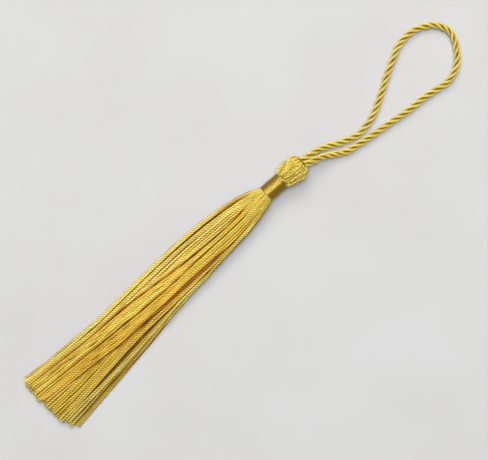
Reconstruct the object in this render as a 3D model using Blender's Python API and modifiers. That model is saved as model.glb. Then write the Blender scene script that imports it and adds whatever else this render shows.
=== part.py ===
"""A silk tassel lying on a surface: a folded yarn head, a bound neck, a spread skirt and a cord loop.

Sizes are in metres. The head rests on a small flat at the origin. The loop of twisted cord
runs towards +Y, the skirt of yarns runs towards -Y, and +Z is up.
"""

import math
import random

import bmesh
import bpy
from mathutils import Matrix, Vector

# Head and neck. Both are turned about one axis, which leans a little from +Y towards +X.
AXIS_HEIGHT = 0.00298
AXIS_LEAN = math.radians(4.0)
HEAD_STEPS = 48
HEAD_RIB = 0.00006
NECK_RADIUS = 0.00135
NECK_TOP = -0.0032
NECK_END = -0.0086
CLEARANCE = 0.0003

# Each row: place along the axis, radius. The first ring is the flat seat of the cord.
HEAD_PROFILE = (
    (0.0030, 0.00190),
    (0.0028, 0.00225),
    (0.0023, 0.00264),
    (0.0014, 0.00298),
    (0.0003, 0.00312),
    (-0.0009, 0.00302),
    (-0.0019, 0.00280),
    (-0.0026, 0.00253),
    (-0.0030, 0.00220),
)

# Binding thread, wound round the neck in close turns.
BINDING_TURNS = 14
BINDING_RADIUS = 0.00208
BINDING_GROOVE = 0.00011
BINDING_STEPS = 24

# Skirt. The mass of strands lies in columns, and a few more strands fan out singly at its right.
MASS_COLUMNS = 20
LAYERS = 4
SPLAYED_STRANDS = 6
ROOT_RADIUS = 0.00125
STRAND_WIDTH = 0.00050
STRAND_SHARE = 0.84
STRAND_JITTER = 0.00003
END_JITTER = 0.0011
END_CURVE = 0.0017
UNDERCUT = 0.0003

# Each row: place along Y, left edge, right edge of the mass, right edge of all, underside, top,
# and how far the round bundle has become a flat one (0 to 1).
SKIRT_SECTIONS = (
    (-0.0094, -0.0033, 0.0010, 0.0018, 0.0009, 0.0049, 0.0),
    (-0.0115, -0.0044, 0.0013, 0.0023, 0.0005, 0.0046, 0.1),
    (-0.0160, -0.0055, 0.0016, 0.0028, 0.0001, 0.0040, 0.3),
    (-0.0230, -0.0068, 0.0017, 0.0031, 0.0000, 0.0033, 0.6),
    (-0.0320, -0.0075, 0.0019, 0.0035, 0.0000, 0.0027, 0.9),
    (-0.0430, -0.0079, 0.0021, 0.0041, 0.0000, 0.0023, 1.0),
    (-0.0540, -0.0081, 0.0024, 0.0052, 0.0000, 0.0022, 1.0),
    (-0.0630, -0.0085, 0.0025, 0.0059, 0.0000, 0.0021, 1.0),
    (-0.0720, -0.0093, 0.0027, 0.0067, 0.0000, 0.0020, 1.0),
    (-0.0806, -0.0105, 0.0030, 0.0074, 0.0000, 0.0020, 1.0),
)

# Twisted cord, folded into the hanging loop. Both ends meet the seat on the head.
CORD_RADIUS = 0.00083
CORD_PLIES = 3
CORD_LAY = 0.0060
CORD_GROOVE = 0.00018
CORD_STEP = 0.00042
CORD_SIDES = 2 * CORD_PLIES

# Route of the cord's centre line, from the head round the loop and back.
CORD_ROUTE = (
    (-0.00018, 0.00344, 0.00241),
    (0.00020, 0.0052, 0.00222),
    (0.00070, 0.0075, 0.00160),
    (0.00176, 0.0099, 0.00100),
    (0.00310, 0.0122, 0.00085),
    (0.00411, 0.0146, 0.00085),
    (0.00480, 0.0169, 0.00085),
    (0.00470, 0.0193, 0.00085),
    (0.00430, 0.0216, 0.00085),
    (0.00341, 0.0240, 0.00085),
    (0.00235, 0.0263, 0.00085),
    (0.00118, 0.0287, 0.00085),
    (-0.00007, 0.0310, 0.00085),
    (-0.00223, 0.0357, 0.00085),
    (-0.00322, 0.0381, 0.00085),
    (-0.00353, 0.0404, 0.00085),
    (-0.00336, 0.0428, 0.00085),
    (-0.00251, 0.0451, 0.00090),
    (-0.00082, 0.0475, 0.00100),
    (0.00060, 0.0485, 0.00110),
    (0.00270, 0.0491, 0.00120),
    (0.00482, 0.0486, 0.00125),
    (0.00693, 0.0473, 0.00120),
    (0.00924, 0.0451, 0.00110),
    (0.01050, 0.0428, 0.00095),
    (0.01093, 0.0404, 0.00085),
    (0.01050, 0.0381, 0.00085),
    (0.00956, 0.0334, 0.00085),
    (0.00909, 0.0287, 0.00085),
    (0.00815, 0.0240, 0.00085),
    (0.00736, 0.0193, 0.00085),
    (0.00635, 0.0146, 0.00085),
    (0.00580, 0.0122, 0.00090),
    (0.00440, 0.0099, 0.00125),
    (0.00285, 0.0075, 0.00220),
    (0.00180, 0.0052, 0.00325),
    (0.00119, 0.00344, 0.00353),
)

COLLECTION = "silk_tassel"
SEED = 7
WELD = 0.000001
SHARP_ANGLE = math.radians(50.0)
CURVE_TICKS = 40


def clear_scene():
    for old in list(bpy.data.objects):
        bpy.data.objects.remove(old, do_unlink=True)


def new_collection(name):
    made = bpy.data.collections.new(name)
    bpy.context.scene.collection.children.link(made)
    return made


def new_material(name, colour, roughness):
    material = bpy.data.materials.new(name)
    material.use_nodes = True
    shader = material.node_tree.nodes["Principled BSDF"]
    shader.inputs["Base Color"].default_value = (*colour, 1.0)
    shader.inputs["Roughness"].default_value = roughness
    shader.inputs["Metallic"].default_value = 0.0
    return material


def add_part(parts, name, mesh, material):
    """Link the mesh as a named object, shaded smooth but for its sharp edges."""
    mesh.materials.append(material)
    mesh.shade_smooth()
    mesh.set_sharp_from_angle(angle=SHARP_ANGLE)
    made = bpy.data.objects.new(name, mesh)
    parts.objects.link(made)
    return made


def axis_frame():
    """The turning axis of head and neck: local +Z runs to the top of the head."""
    lift = Matrix.Translation((0.0, 0.0, AXIS_HEIGHT))
    lean = Matrix.Rotation(-AXIS_LEAN, 4, "Z")
    lay_down = Matrix.Rotation(math.radians(-90.0), 4, "X")
    return lift @ lean @ lay_down


def evaluated_mesh(made):
    """The object's mesh with its modifiers or its curve applied, and its seams welded."""
    bpy.context.view_layer.update()
    graph = bpy.context.evaluated_depsgraph_get()
    mesh = bpy.data.meshes.new_from_object(made.evaluated_get(graph))
    work = bmesh.new()
    work.from_mesh(mesh)
    bmesh.ops.remove_doubles(work, verts=work.verts, dist=WELD)
    bmesh.ops.recalc_face_normals(work, faces=work.faces)
    work.to_mesh(mesh)
    work.free()
    return mesh


def turned_mesh(name, profile, steps, closed):
    """A profile of (along, radius) rows turned about local Z, as one closed mesh."""
    mesh = bpy.data.meshes.new(name)
    count = len(profile)
    edges = [(index, index + 1) for index in range(count - 1)]
    if closed:
        edges.append((count - 1, 0))
    mesh.from_pydata([(radius, 0.0, along) for along, radius in profile], edges, [])
    made = bpy.data.objects.new(name, mesh)
    bpy.context.scene.collection.objects.link(made)
    screw = made.modifiers.new("turn", "SCREW")
    screw.steps = steps
    screw.render_steps = steps
    screw.use_merge_vertices = True
    screw.merge_threshold = WELD
    result = evaluated_mesh(made)
    bpy.data.objects.remove(made, do_unlink=True)
    return result


def raise_head_ribs(mesh):
    """Lift every second line of the head, so the folded yarns stand out from seat to neck."""
    lowest = HEAD_PROFILE[-1][0]
    highest = HEAD_PROFILE[0][0]
    step = 2.0 * math.pi / HEAD_STEPS
    for vertex in mesh.vertices:
        along = vertex.co.z
        radius = math.hypot(vertex.co.x, vertex.co.y)
        if not lowest <= along < highest or radius < NECK_RADIUS:
            continue
        line = round(math.atan2(vertex.co.y, vertex.co.x) / step)
        side = 1.0 if line % 2 == 0 else -1.0
        scale = 1.0 + side * HEAD_RIB / radius
        vertex.co.x *= scale
        vertex.co.y *= scale


def cut_rest_flat(mesh):
    """Cut the small flat that the head rests on, level with the surface."""
    work = bmesh.new()
    work.from_mesh(mesh)
    everything = work.verts[:] + work.edges[:] + work.faces[:]
    cut = bmesh.ops.bisect_plane(
        work,
        geom=everything,
        dist=0.1 * WELD,
        plane_co=(0.0, 0.0, 0.0),
        plane_no=(0.0, 0.0, -1.0),
        clear_outer=True,
    )
    rim = [item for item in cut["geom_cut"] if isinstance(item, bmesh.types.BMEdge)]
    bmesh.ops.contextual_create(work, geom=rim)
    bmesh.ops.recalc_face_normals(work, faces=work.faces)
    work.to_mesh(mesh)
    work.free()


def head_and_neck():
    """The yarns folded over the cord and drawn in to the neck, which is open at its end."""
    profile = [(HEAD_PROFILE[0][0], 0.0)]
    profile += HEAD_PROFILE
    profile += [(NECK_TOP, NECK_RADIUS), (NECK_END, NECK_RADIUS)]
    mesh = turned_mesh("head_and_neck", profile, HEAD_STEPS, closed=False)
    raise_head_ribs(mesh)
    mesh.transform(axis_frame())
    cut_rest_flat(mesh)
    return mesh


def column_sizes():
    """How many strands lie on each other in each column, from left to right."""
    sizes = []
    for column in range(MASS_COLUMNS):
        from_edge = min(column, MASS_COLUMNS - 1 - column)
        sizes.append(min(LAYERS, 2 + from_edge // 2))
    return sizes + [1] * SPLAYED_STRANDS


def disc_edge(share):
    """How far across a unit circle (-1 to 1) a line lies that has this share of it at its left."""
    low, high = -1.0, 1.0
    for _ in range(40):
        across = 0.5 * (low + high)
        left_share = (across * math.sqrt(1.0 - across**2) + math.asin(across)) / math.pi + 0.5
        if left_share < share:
            low = across
        else:
            high = across
    return across


def strand_cells():
    """Each strand's column and layer, and its cell (left, right, low, high) in a unit circle."""
    sizes = column_sizes()
    total = sum(sizes)
    placed = 0
    cells = []
    for column, size in enumerate(sizes):
        left = disc_edge(placed / total)
        placed += size
        right = disc_edge(placed / total)
        height = math.sqrt(1.0 - (0.5 * (left + right)) ** 2)
        for layer in range(size):
            low = height * (2.0 * layer / size - 1.0)
            high = height * (2.0 * (layer + 1) / size - 1.0)
            cells.append((column, layer, (left, right, low, high)))
    return cells


def flat_cell(row, column, layer):
    """The cell (left, right, low, high) of a strand where the skirt lies flat."""
    _, left, mass_right, right, under, top, _ = row
    pitch = (top - under) / LAYERS
    low = under + layer * pitch
    if column < MASS_COLUMNS:
        width = (mass_right - left) / MASS_COLUMNS
        start = left + column * width
    else:
        width = (right - mass_right) / (SPLAYED_STRANDS + 1)
        start = mass_right + (column - MASS_COLUMNS + 1) * width
    return start, start + width, low, low + pitch


def strand_ring(cell, shift):
    """Sides of a strand (left, right, low, high) that fills most of its cell."""
    left, right, low, high = cell
    middle = 0.5 * (left + right) + shift * (right - left) / STRAND_WIDTH
    half = 0.5 * min(STRAND_SHARE * (right - left), STRAND_WIDTH)
    return middle - half, middle + half, low, low + min(STRAND_SHARE * (high - low), STRAND_WIDTH)


def ring_corners(cell, shift):
    """Corners (across, up) of a strand, going round from its lower left one."""
    left, right, low, high = strand_ring(cell, shift)
    return (left, low), (right, low), (right, high), (left, high)


def strand_rings(strand, shift, cut_back):
    """Corners of one strand at each section, from its root on the neck's end to its cut end."""
    column, layer, unit = strand
    frame = axis_frame()
    root = [ROOT_RADIUS * side for side in unit]
    rings = [[frame @ Vector((x, -z, NECK_END)) for x, z in ring_corners(root, shift)]]
    for row in SKIRT_SECTIONS:
        y, edge_left, _, edge_right, under, top, flatness = row
        middle_x = 0.5 * (edge_left + edge_right)
        half_x = 0.5 * (edge_right - edge_left)
        middle_z = 0.5 * (under + top)
        half_z = 0.5 * (top - under)
        turned = (
            middle_x + half_x * unit[0],
            middle_x + half_x * unit[1],
            middle_z + half_z * unit[2],
            middle_z + half_z * unit[3],
        )
        flat = flat_cell(row, column, layer)
        cell = [a + (b - a) * flatness for a, b in zip(turned, flat)]
        if row is SKIRT_SECTIONS[-1]:
            y += cut_back
        rings.append([Vector((x, y, z)) for x, z in ring_corners(cell, shift)])
    return rings


def add_strand(work, rings):
    """A rod through rings of corners that differ from section to section, open at its root."""
    loops = [[work.verts.new(corner) for corner in ring] for ring in rings]
    for first, second in zip(loops, loops[1:]):
        for index, corner in enumerate(first):
            after = (index + 1) % len(first)
            work.faces.new((corner, first[after], second[after], second[index]))
    work.faces.new(loops[-1])


def add_skirt(work):
    """All strands as four-sided rods with level undersides, apart from each other."""
    draw = random.Random(SEED)
    columns = len(column_sizes())
    for strand in strand_cells():
        shift = draw.uniform(-STRAND_JITTER, STRAND_JITTER)
        from_middle = abs(2.0 * strand[0] / (columns - 1) - 1.0)
        cut_back = END_CURVE * from_middle**2 + draw.uniform(0.0, END_JITTER)
        cut_back += UNDERCUT * (LAYERS - 1 - strand[1])
        add_strand(work, strand_rings(strand, shift, cut_back))


def add_yarn_tassel(parts):
    """Head, neck and skirt are one body of yarns, which the neck's end face joins."""
    mesh = head_and_neck()
    work = bmesh.new()
    work.from_mesh(mesh)
    add_skirt(work)
    rims = [edge for edge in work.edges if edge.is_boundary]
    neck_end = axis_frame().to_3x3() @ Vector((0.0, 0.0, -1.0))
    bmesh.ops.triangle_fill(work, use_beauty=True, edges=rims, normal=neck_end)
    bmesh.ops.recalc_face_normals(work, faces=work.faces)
    work.to_mesh(mesh)
    work.free()
    return add_part(parts, "yarn_tassel", mesh, new_material("silk_yarn", (0.62, 0.41, 0.09), 0.42))


def add_neck_binding(parts):
    """A ring of thread turns round the neck, clear of the yarns under it."""
    inner = (NECK_RADIUS + CLEARANCE) / math.cos(math.pi / BINDING_STEPS)
    first = NECK_TOP - CLEARANCE
    last = NECK_END + 0.5 * CLEARANCE
    half_turn = (first - last) / (2 * BINDING_TURNS)
    profile = [(first, inner)]
    for line in range(2 * BINDING_TURNS + 1):
        radius = BINDING_RADIUS if line % 2 else BINDING_RADIUS - BINDING_GROOVE
        profile.append((first - line * half_turn, radius))
    profile.append((last, inner))
    mesh = turned_mesh("neck_binding", profile, BINDING_STEPS, closed=True)
    mesh.transform(axis_frame())
    thread = new_material("binding_thread", (0.45, 0.25, 0.03), 0.3)
    return add_part(parts, "neck_binding", mesh, thread)


def smooth_points(route, step):
    """Points about a step apart on a smooth curve through the route's points."""
    places = [Vector(row) for row in route]
    places = [2.0 * places[0] - places[1]] + places + [2.0 * places[-1] - places[-2]]
    dense = []
    for before, start, end, after in zip(places, places[1:], places[2:], places[3:]):
        span = (end - start).length
        start_slope = (end - before) * span / ((start - before).length + span)
        end_slope = (after - start) * span / ((after - end).length + span)
        for tick in range(CURVE_TICKS):
            t = tick / CURVE_TICKS
            dense.append(
                start * (2.0 * t**3 - 3.0 * t**2 + 1.0)
                + end * (3.0 * t**2 - 2.0 * t**3)
                + start_slope * (t**3 - 2.0 * t**2 + t)
                + end_slope * (t**3 - t**2)
            )
    dense.append(places[-2])
    lengths = [0.0]
    for start, end in zip(dense, dense[1:]):
        lengths.append(lengths[-1] + (end - start).length)
    count = round(lengths[-1] / step)
    points = []
    segment = 0
    for index in range(count + 1):
        target = lengths[-1] * index / count
        while segment < len(dense) - 2 and lengths[segment + 1] < target:
            segment += 1
        share = (target - lengths[segment]) / (lengths[segment + 1] - lengths[segment])
        points.append(dense[segment].lerp(dense[segment + 1], share))
    return points


def ply_outline():
    """Section of the cord: one bulge for each ply, as a small closed outline."""
    curve = bpy.data.curves.new("ply_outline", "CURVE")
    curve.dimensions = "2D"
    outline = curve.splines.new("POLY")
    outline.use_cyclic_u = True
    outline.points.add(CORD_SIDES - 1)
    for index, point in enumerate(outline.points):
        angle = 2.0 * math.pi * index / CORD_SIDES
        radius = CORD_RADIUS - CORD_GROOVE * 0.5 * (1.0 - math.cos(CORD_PLIES * angle))
        point.co = (radius * math.cos(angle), radius * math.sin(angle), 0.0, 1.0)
    return bpy.data.objects.new("ply_outline", curve)


def add_hanging_cord(parts, cutters):
    """The loop of cord, its plies raised and turning once in each lay."""
    outline = ply_outline()
    outline.hide_render = True
    outline.display_type = "WIRE"
    cutters.objects.link(outline)
    curve = bpy.data.curves.new("cord_path", "CURVE")
    curve.dimensions = "3D"
    curve.twist_mode = "Z_UP"
    curve.bevel_mode = "OBJECT"
    curve.bevel_object = outline
    curve.use_fill_caps = True
    points = smooth_points(CORD_ROUTE, CORD_STEP)
    spline = curve.splines.new("POLY")
    spline.points.add(len(points) - 1)
    for index, (point, place) in enumerate(zip(spline.points, points)):
        point.co = (*place, 1.0)
        point.tilt = 2.0 * math.pi * index * CORD_STEP / CORD_LAY
    made = bpy.data.objects.new("cord_path", curve)
    parts.objects.link(made)
    mesh = evaluated_mesh(made)
    bpy.data.objects.remove(made, do_unlink=True)
    return add_part(parts, "hanging_cord", mesh, new_material("twisted_cord", (0.66, 0.45, 0.12), 0.4))


def build():
    clear_scene()
    parts = new_collection(COLLECTION)
    cutters = new_collection("cutters")
    add_yarn_tassel(parts)
    add_neck_binding(parts)
    add_hanging_cord(parts, cutters)


build()
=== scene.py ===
"""Looks of the silk tassel: twisted yarns, bound neck, folded head and cord loop, on a pale floor.

The cord loop runs towards +Y, the skirt of yarns towards -Y, and +Z is up. Sizes are in metres.
Only the head's profile and depths and the skirt are worked out in millimetres.
"""

import math

import bpy
import numpy as np
from mathutils import Matrix, Vector


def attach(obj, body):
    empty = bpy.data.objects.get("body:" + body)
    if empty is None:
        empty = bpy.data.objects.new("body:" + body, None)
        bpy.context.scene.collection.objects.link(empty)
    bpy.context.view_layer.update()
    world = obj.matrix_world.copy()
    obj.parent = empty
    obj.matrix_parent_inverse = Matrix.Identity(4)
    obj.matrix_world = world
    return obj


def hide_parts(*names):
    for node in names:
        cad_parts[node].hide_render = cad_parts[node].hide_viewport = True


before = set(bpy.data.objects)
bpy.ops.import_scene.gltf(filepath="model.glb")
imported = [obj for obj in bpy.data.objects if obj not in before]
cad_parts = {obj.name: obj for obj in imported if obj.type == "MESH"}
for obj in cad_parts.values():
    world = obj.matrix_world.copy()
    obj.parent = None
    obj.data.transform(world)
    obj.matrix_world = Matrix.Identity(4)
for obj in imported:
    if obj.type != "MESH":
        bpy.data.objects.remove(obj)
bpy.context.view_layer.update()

# One stream of random draws for shapes and colours, and one for the painted warm shade of the
# skirt's yarns.
draws = np.random.default_rng(11)
shade_draws = np.random.default_rng(3)

MM = 0.001
TURN = 2.0 * math.pi
TINY = 1e-6

# In what follows, a run is where something sets in and how far from there it is complete, and a
# drift is the number of rings or places between two random draws, and its size.

# Camera: straight above the middle of the view, with the photograph's up between -X and +Y.
VIEW_CENTRE = (0.00168, -0.0181, 0.001)
VIEW_WIDTH = 0.1147
CAMERA_DISTANCE = 0.42
SENSOR = 36.0

# Head and neck, turned about one axis, which leans a little from +Y towards +X.
AXIS_HEIGHT = 0.00298
AXIS_LEAN = math.radians(4.0)

# Each row: place along the head's axis, radius of the head's outside there, in millimetres.
HEAD_PROFILE = (
    (-5.2, 1.50), (-4.2, 1.60), (-3.8, 1.75), (-3.45, 2.12), (-3.05, 2.46), (-2.4, 2.76),
    (-1.5, 2.98), (-0.3, 3.10), (0.8, 3.08), (1.6, 2.94), (2.2, 2.64), (2.55, 2.24),
    (2.68, 1.80), (2.62, 1.46), (2.35, 1.20), (1.90, 1.05),
)

# A yarn of the head is as thick as its place allows, up to this, and is drawn fuller.
HEAD_RINGS = 98
HEAD_HALF_THICKNESS = 0.00027
HEAD_CLOSENESS = 1.15
HEAD_FULLNESS = 1.20

# Yarns of the head, outer and inner. Each row: name, number, depth under the head's outside, how
# much that depth varies, how far the yarns stray round the head (in radians), their golds, and
# their corners, plies, lay and groove.
HEAD_LAYERS = (
    ("head_yarns", 36, -0.13, 0.36, 0.110, (0.46, 0.09, 0.45), (8, 2, 0.0019, 0.52)),
    ("head_inner_yarns", 46, 0.18, 0.03, 0.030, (0.65, 0.10, 0.25), (6, 2, 0.0014, 0.20)),
)
HEAD_DRIFT_RINGS = 10
HEAD_DEPTH_DRIFT = 0.45

# Painted sheen on the head's two sides, which makes them paler: strength, colour and run (0
# middle, 1 outermost).
HEAD_PAINTED_SHEEN = 0.85
HEAD_SHEEN_COLOUR = (0.86, 0.80, 0.36)
HEAD_SHEEN_RUN = (0.75, 0.25)

# Light of the head, shade on the sides of its yarns, and light of its inner yarns.
HEAD_TONE = 1.10
HEAD_SIDE_SHARE = 2.2
HEAD_INNER_SHADE = 0.66

# Shade of an outer yarn where others this near, in yarn widths, lie higher by more than that.
HEAD_NEAR = 1.4
HEAD_HIGHER = 0.05
HEAD_BURIED = 3.0
HEAD_WARMTH = (0.90, 0.95, 1.40)

# Shade where the yarns fold in under the cord. Its run is a radius of the head, in millimetres.
FOLD_RUN = (2.60, -0.3)
FOLD_SHADE = (0.42, 0.30, 0.15)

# Twisted yarns: one turn of the plies, its change from yarn to yarn, the drift of the twist in
# radians, and how far the skin's filaments turn with it.
YARN_PLIES = 2
YARN_LAY = 0.00122
LAY_CHANGE = 0.09
TWIST_DRIFT = (24, 0.5)
YARN_SKIN_TURN = 0.85

# Binding: a doubled, flattened thread wound round the neck, its ends tucked under.
BINDING_TOP = -0.00360
BINDING_END = -0.00868
BINDING_RADIUS = 0.00208
BINDING_TURNS = 7.0
RINGS_A_TURN = 130
TUCK_TURNS = 0.35
TUCK_DEPTH = 0.00022
THREAD_DIAMETER = 0.00037
THREAD_SPACING = 0.00035
THREAD_FULLNESS = 1.20
THREAD_FLATNESS = 0.27
SECOND_THREAD_DEPTH = 0.00009
THREAD_LAY = 0.0008
THREAD_GROOVE = 0.14
THREAD_SIDES = 10

# How the thread strays in depth and along the neck.
DEPTH_DRIFT = (80, 0.000012)
PLACE_DRIFT = (90, 0.000015)

# Its colour, and what is left of it between two pairs of strands: that shade is more on a side
# that faces the next pair, and less on what faces out.
BINDING_TINT = (0.21, 0.080, 0.001)
PAIR_SHADE = (0.36, 0.26, 0.13)
PAIR_BASE = 0.35
PAIR_SIDE = 0.9
PAIR_OUT = 0.6

# Cord: three plies round the line of its CAD solid, and a few rings on past both ends. The step
# sets how many random draws come before those of the yarns.
CORD_DIAMETER = 0.00166
CORD_LAY = 0.0060
CORD_STEP = 0.0001995
CORD_HIDDEN_RINGS = 4
CURVE_TICKS = 40
PLY_SIDES = 35
PLY_YARNS = 7
PLY_GROOVE = 0.13
PLY_LAY = 0.0042
PLY_FULLNESS = 1.06

# How plies stray round the cord, from its middle, in their twist and in thickness, and how far
# the skin's filaments turn with the twist.
ANGLE_DRIFT = (22, 0.06)
REACH_DRIFT = (30, 0.025)
SPIN_DRIFT = (40, 0.3)
SIZE_DRIFT = (18, 0.02)
SKIN_TURN = 0.8

# Its silk, the painted shade deep between the plies (in parts of its radius), and the painted
# sheen that makes its two sides paler.
CORD_TINT = (0.50, 0.42, 0.090)
CORD_SHADE = (0.24, 0.20, 0.035)
CORD_SHADE_RUN = (0.93, 0.60 - 0.93)
CORD_SHEEN_COLOUR = (0.72, 0.63, 0.22)
CORD_SHEEN_RUN = (0.40, 0.75 - 0.40)
CORD_SHEEN_SHARE = 0.85
CORD_ROUTE = (
    (-0.00018, 0.00344, 0.00241), (0.00020, 0.0052, 0.00222), (0.00070, 0.0075, 0.00160),
    (0.00176, 0.0099, 0.00100), (0.00310, 0.0122, 0.00085), (0.00411, 0.0146, 0.00085),
    (0.00480, 0.0169, 0.00085), (0.00470, 0.0193, 0.00085), (0.00430, 0.0216, 0.00085),
    (0.00341, 0.0240, 0.00085), (0.00235, 0.0263, 0.00085), (0.00118, 0.0287, 0.00085),
    (-0.00007, 0.0310, 0.00085), (-0.00223, 0.0357, 0.00085), (-0.00322, 0.0381, 0.00085),
    (-0.00353, 0.0404, 0.00085), (-0.00336, 0.0428, 0.00085), (-0.00251, 0.0451, 0.00090),
    (-0.00082, 0.0475, 0.00100), (0.00060, 0.0485, 0.00110), (0.00270, 0.0491, 0.00120),
    (0.00482, 0.0486, 0.00125), (0.00693, 0.0473, 0.00120), (0.00924, 0.0451, 0.00110),
    (0.01050, 0.0428, 0.00095), (0.01093, 0.0404, 0.00085), (0.01050, 0.0381, 0.00085),
    (0.00956, 0.0334, 0.00085), (0.00909, 0.0287, 0.00085), (0.00815, 0.0240, 0.00085),
    (0.00736, 0.0193, 0.00085), (0.00635, 0.0146, 0.00085), (0.00580, 0.0122, 0.00090),
    (0.00440, 0.0099, 0.00125), (0.00285, 0.0075, 0.00220), (0.00180, 0.0052, 0.00325),
    (0.00119, 0.00344, 0.00353),
)

# Skirt. Each row: place along Y, the left edge of each lock of yarns, then the right edge of all.
LOCK_EDGES = (
    (-7.6, -2.15, -1.95, -1.25, -0.55, 0.30, 0.80, 1.10),
    (-8.5, -2.45, -2.25, -1.45, -0.50, 0.45, 1.00, 1.35),
    (-9.2, -3.30, -2.94, -1.49, -0.44, 0.81, 1.41, 1.75),
    (-13.6, -4.94, -4.29, -1.54, -0.29, 1.59, 2.18, 2.59),
    (-18.3, -5.99, -4.97, -1.56, -0.39, 1.96, 2.67, 3.06),
    (-23.0, -6.82, -5.56, -1.75, -0.53, 2.08, 2.79, 3.17),
    (-27.7, -7.24, -6.03, -2.15, -0.74, 1.73, 2.79, 3.36),
    (-32.4, -7.64, -6.43, -2.57, -0.98, 1.45, 2.71, 3.53),
    (-37.1, -7.76, -6.57, -3.21, -1.16, 1.26, 2.67, 3.64),
    (-44.2, -7.87, -6.71, -4.27, -1.56, 1.02, 2.62, 4.11),
    (-51.2, -7.99, -6.85, -5.32, -2.15, 0.67, 2.71, 4.94),
    (-58.3, -7.99, -6.94, -5.70, -2.93, 0.08, 2.90, 5.52),
    (-65.3, -8.70, -7.44, -6.38, -3.68, -0.86, 3.14, 6.11),
    (-72.4, -9.28, -8.14, -7.20, -4.50, -1.68, 3.37, 6.70),
    (-82.0, -10.75, -9.60, -8.55, -5.60, -2.60, 3.50, 7.60),
)

# Each row: yarns in the lock, which edge they keep to (0 left, 1 right) and their pitch. A lock
# that is wider than its opening runs on under the next one.
LOCKS = ((2, 0, 0.50), (7, 0, 0.54), (5, 0, 0.54), (5, 0, 0.54), (9, 1, 0.55), (5, 1, 0.72))
LOCK_YARNS = [row[0] for row in LOCKS]

# How fast such a yarn goes under, how much deeper it lies there, and how much painted shade it
# takes there.
COVER_SLOPE = 0.5
COVER_DEPTH = 1.1
COVER_SHADE = 0.9

# How much each lock takes of lemon gold, orange gold and pale gold.
LOCK_SHARES = (
    (0.20, 0.02, 0.78), (0.28, 0.28, 0.44), (0.56, 0.26, 0.18), (0.33, 0.50, 0.17),
    (0.46, 0.32, 0.22), (0.25, 0.02, 0.73),
)
UNDER_SHARES = (0.35, 0.50, 0.15)

# How light each lock is (the last is painted darker, as shade), and how much painted warm shade
# its yarns take on lower down.
LOCK_TONES_AND_SHADE = (1.0, 1.05, 1.0, 1.0, 0.97, 0.74)
LOCK_WARM_SHADE = (0.0, 0.0, 0.0, 0.26, 0.34, 0.0)

# Each row: place down the skirt, how far that painted warm shade has come in there (0 to 1).
WARM_SHADE_RUN = ((32.0, 0.0), (42.0, 1.0), (66.0, 1.0), (80.0, 0.5))

# The most that one yarn takes of its lock's painted warm shade. Some under yarns are painted red
# too, as warm shade: the middle of these and their reach, in parts of the row, and how red the
# middle is before a cut-off at 1.
WARM_SHADE_MOST = 2.0
WARM_SHADE_MIDDLE = 0.77
WARM_SHADE_REACH = 0.10
WARM_SHADE_PEAK = 1.5
WARM_SHADE_CAST = (0.86, 0.60, 0.35)

# Each row: place along Y, then the width of the open line at the left of each lock but the first.
LOCK_GAPS = (
    (-7.6, 0.0, 0.0, 0.0, 0.0, 0.0), (-11.5, 0.05, 0.0, 0.0, 0.0, 0.0),
    (-13.5, 0.20, 0.0, 0.0, 0.0, 0.05), (-16.0, 0.30, 0.05, 0.14, 0.05, 0.10),
    (-20.0, 0.36, 0.10, 0.18, 0.20, 0.12), (-26.0, 0.38, 0.20, 0.10, 0.60, 0.12),
    (-36.0, 0.26, 0.28, 0.12, 0.82, 0.12), (-44.0, 0.13, 0.25, 0.24, 0.70, 0.15),
    (-50.0, 0.12, 0.20, 0.30, 0.50, 0.50), (-58.0, 0.08, 0.20, 0.22, 0.20, 0.78),
    (-65.0, 0.03, 0.22, 0.20, 0.18, 0.62), (-69.0, 0.03, 0.16, 0.16, 0.14, 0.25),
    (-73.0, 0.03, 0.10, 0.10, 0.08, 0.04), (-82.0, 0.03, 0.03, 0.03, 0.03, 0.03),
)

# Each row: place along Y, underside, top, and how far the round bundle has become flat (0 to 1).
SECTIONS = (
    (-7.6, 1.35, 4.60, 0.0), (-8.5, 1.25, 4.70, 0.0), (-9.2, 0.85, 4.95, 0.0),
    (-11.5, 0.50, 4.60, 0.1), (-16.0, 0.10, 4.00, 0.3), (-23.0, 0.00, 3.30, 0.6),
    (-32.0, 0.00, 2.70, 0.9), (-43.0, 0.00, 2.40, 1.0), (-82.0, 0.00, 2.30, 1.0),
)

# Places where the skirt's cross-sections are settled: close together at the neck, then evenly.
STATIONS = (-7.6, -8.0, -8.3, -8.6, -8.9, -9.3, -9.8, -10.5, -11.4, -12.5, -14.0, -16.0)
STATION_STEP = 2.0
LAST_STATION = -82.0

# Past the neck the yarns thicken, open into the skirt, come loose and stray.
UNDER_YARNS = 75
YARN_DIAMETER = 0.56
NECK_DIAMETER = 0.38
THICKEN_RUN = (-8.3, -3.5)
OPEN_RUN = (-8.4, -8.0)
LOOSE_RUN = (-9.0, -7.0)
STRAY_RUN = (-10.0, -20.0)
STRAY_DRIFT = (5, 0.07)

# The most that the pitch in a lock widens, its drift, and the most that this narrows it.
PITCH_MOST = 1.15
PITCH_DRIFT = (7, 0.28)
PITCH_LEAST = -0.6 * PITCH_DRIFT[1]

# How far the row of under yarns stays inside the edges, and how far it reaches under the last
# lock, in parts of its width.
UNDER_INSET = 0.35
UNDER_RIGHT = 0.6

# Heights at which yarns start (-1 underside, 1 top): upper ones and their spread, the lowest of
# the others, and how much higher these lie with their height in the neck.
TOP_LAYER = 0.9
TOP_LAYER_SPREAD = 0.08
UNDER_LAYER = -0.95
UNDER_LAYER_RISE = 0.6

# How close the middles of touching yarns lie, in thicknesses, and how much further apart those of
# an upper and an under yarn. Lines wider than OPEN_WIDTH stay open down to these depths.
CLOSENESS = 0.80
LAYER_SPACE = 1.30
CREVICE_LAYERS = (0.9, 1.5, 2.1, 2.7)
OPEN_WIDTH = 0.04

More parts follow.
